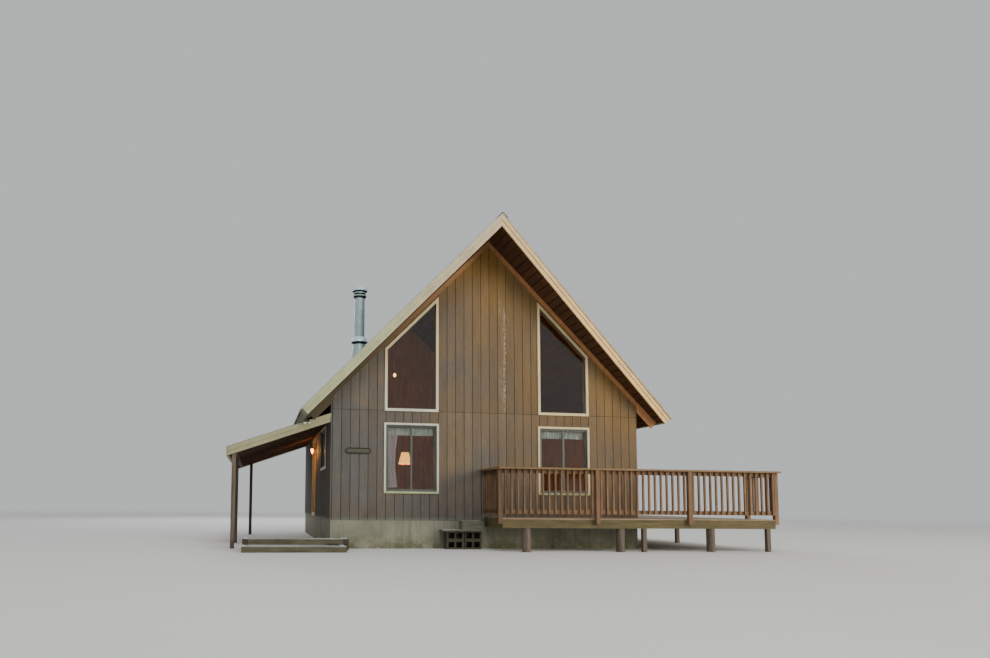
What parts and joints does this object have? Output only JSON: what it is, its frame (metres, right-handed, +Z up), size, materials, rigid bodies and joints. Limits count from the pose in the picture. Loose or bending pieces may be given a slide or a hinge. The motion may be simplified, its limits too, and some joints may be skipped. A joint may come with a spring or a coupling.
{
  "type": "a-frame cabin",
  "caption": "Steep gabled wooden cabin with a prow roof, tall gable windows, a side porch, a metal flue and a railed wrap-round deck.",
  "frame": {"origin": "middle of the front foundation wall, on its underside, straight below the ridge", "axes": "+X to the right as seen from the front, +Y from the front towards the back, +Z up"},
  "size_m": [12.38, 10.223, 7.5045],
  "materials": {
    "concrete": "weathered poured concrete",
    "floor_wood": "satin boards",
    "siding": "grooved plywood siding with faded brown stain",
    "soffit_wood": "dark stained planks",
    "shingle": "granular asphalt shingles",
    "fascia_paint": "tan painted boards",
    "brown_trim": "brown painted lumber",
    "window_trim": "cream paint",
    "sash_paint": "grey green paint",
    "glass": "clear window glass",
    "door_wood": "stained panelled door",
    "door_casing": "painted casing",
    "brass": "worn brass",
    "black_metal": "black paint",
    "lamp_metal": "grey paint",
    "sign_wood": "weathered grey green board",
    "galvanised": "galvanised sheet",
    "post_wood": "weathered brown post",
    "step_wood": "grey weathered timber",
    "deck_wood": "brown stained lumber",
    "deck_board_wood": "worn deck boards",
    "rail_stain": "reddish brown stain"
  },
  "bodies": {
    "house": {"foundation": "concrete", "floor": "floor_wood", "front_wall": "siding", "back_wall": "siding", "left_wall_front": "siding", "left_wall_back": "siding", "left_wall_over_door": "siding", "right_wall": "siding", "roof_left": "soffit_wood", "roof_right": "soffit_wood", "shingles_left": "shingle", "shingles_right": "shingle", "ridge_cap": "shingle", "rake_board_front_left": "fascia_paint", "rake_board_front_right": "fascia_paint", "rake_board_back_left": "fascia_paint", "rake_board_back_right": "fascia_paint", "eave_boards": "fascia_paint", "gable_trim_front": "brown_trim", "gable_trim_back": "brown_trim", "front_window_trim": "window_trim", "back_window_trim": "window_trim", "side_window_trim": "window_trim", "window_sashes": "sash_paint", "window_glass": "glass", "door_frame": "door_casing", "door_hinges": "brass", "porch_lantern": "black_metal", "eave_floodlight": "lamp_metal", "sign_board": "sign_wood", "flue_pipe": "galvanised", "flue_cap": "galvanised", "flue_flashing": "galvanised", "porch_roof": "shingle", "porch_fascia": "fascia_paint", "porch_rafters": "soffit_wood", "porch_posts": "post_wood", "porch_steps": "step_wood", "deck_frame": "deck_wood", "deck_boards": "deck_board_wood", "deck_supports": "concrete", "railing_posts": "rail_stain", "railing_front": "rail_stain", "railing_left": "rail_stain", "railing_right": "rail_stain", "rail_cap": "rail_stain", "plank_step": "step_wood", "step_blocks": "concrete"},
    "door": {"entry_door": "door_wood", "door_knob": "brass"}
  },
  "joints": [
    {"name": "door_hinge", "type": "hinge", "parent": "house", "child": "door", "pos_m": [-3.525, 4.0275, 1.8], "axis": [0, 0, -1], "range_deg": [0, 100]}
  ]
}
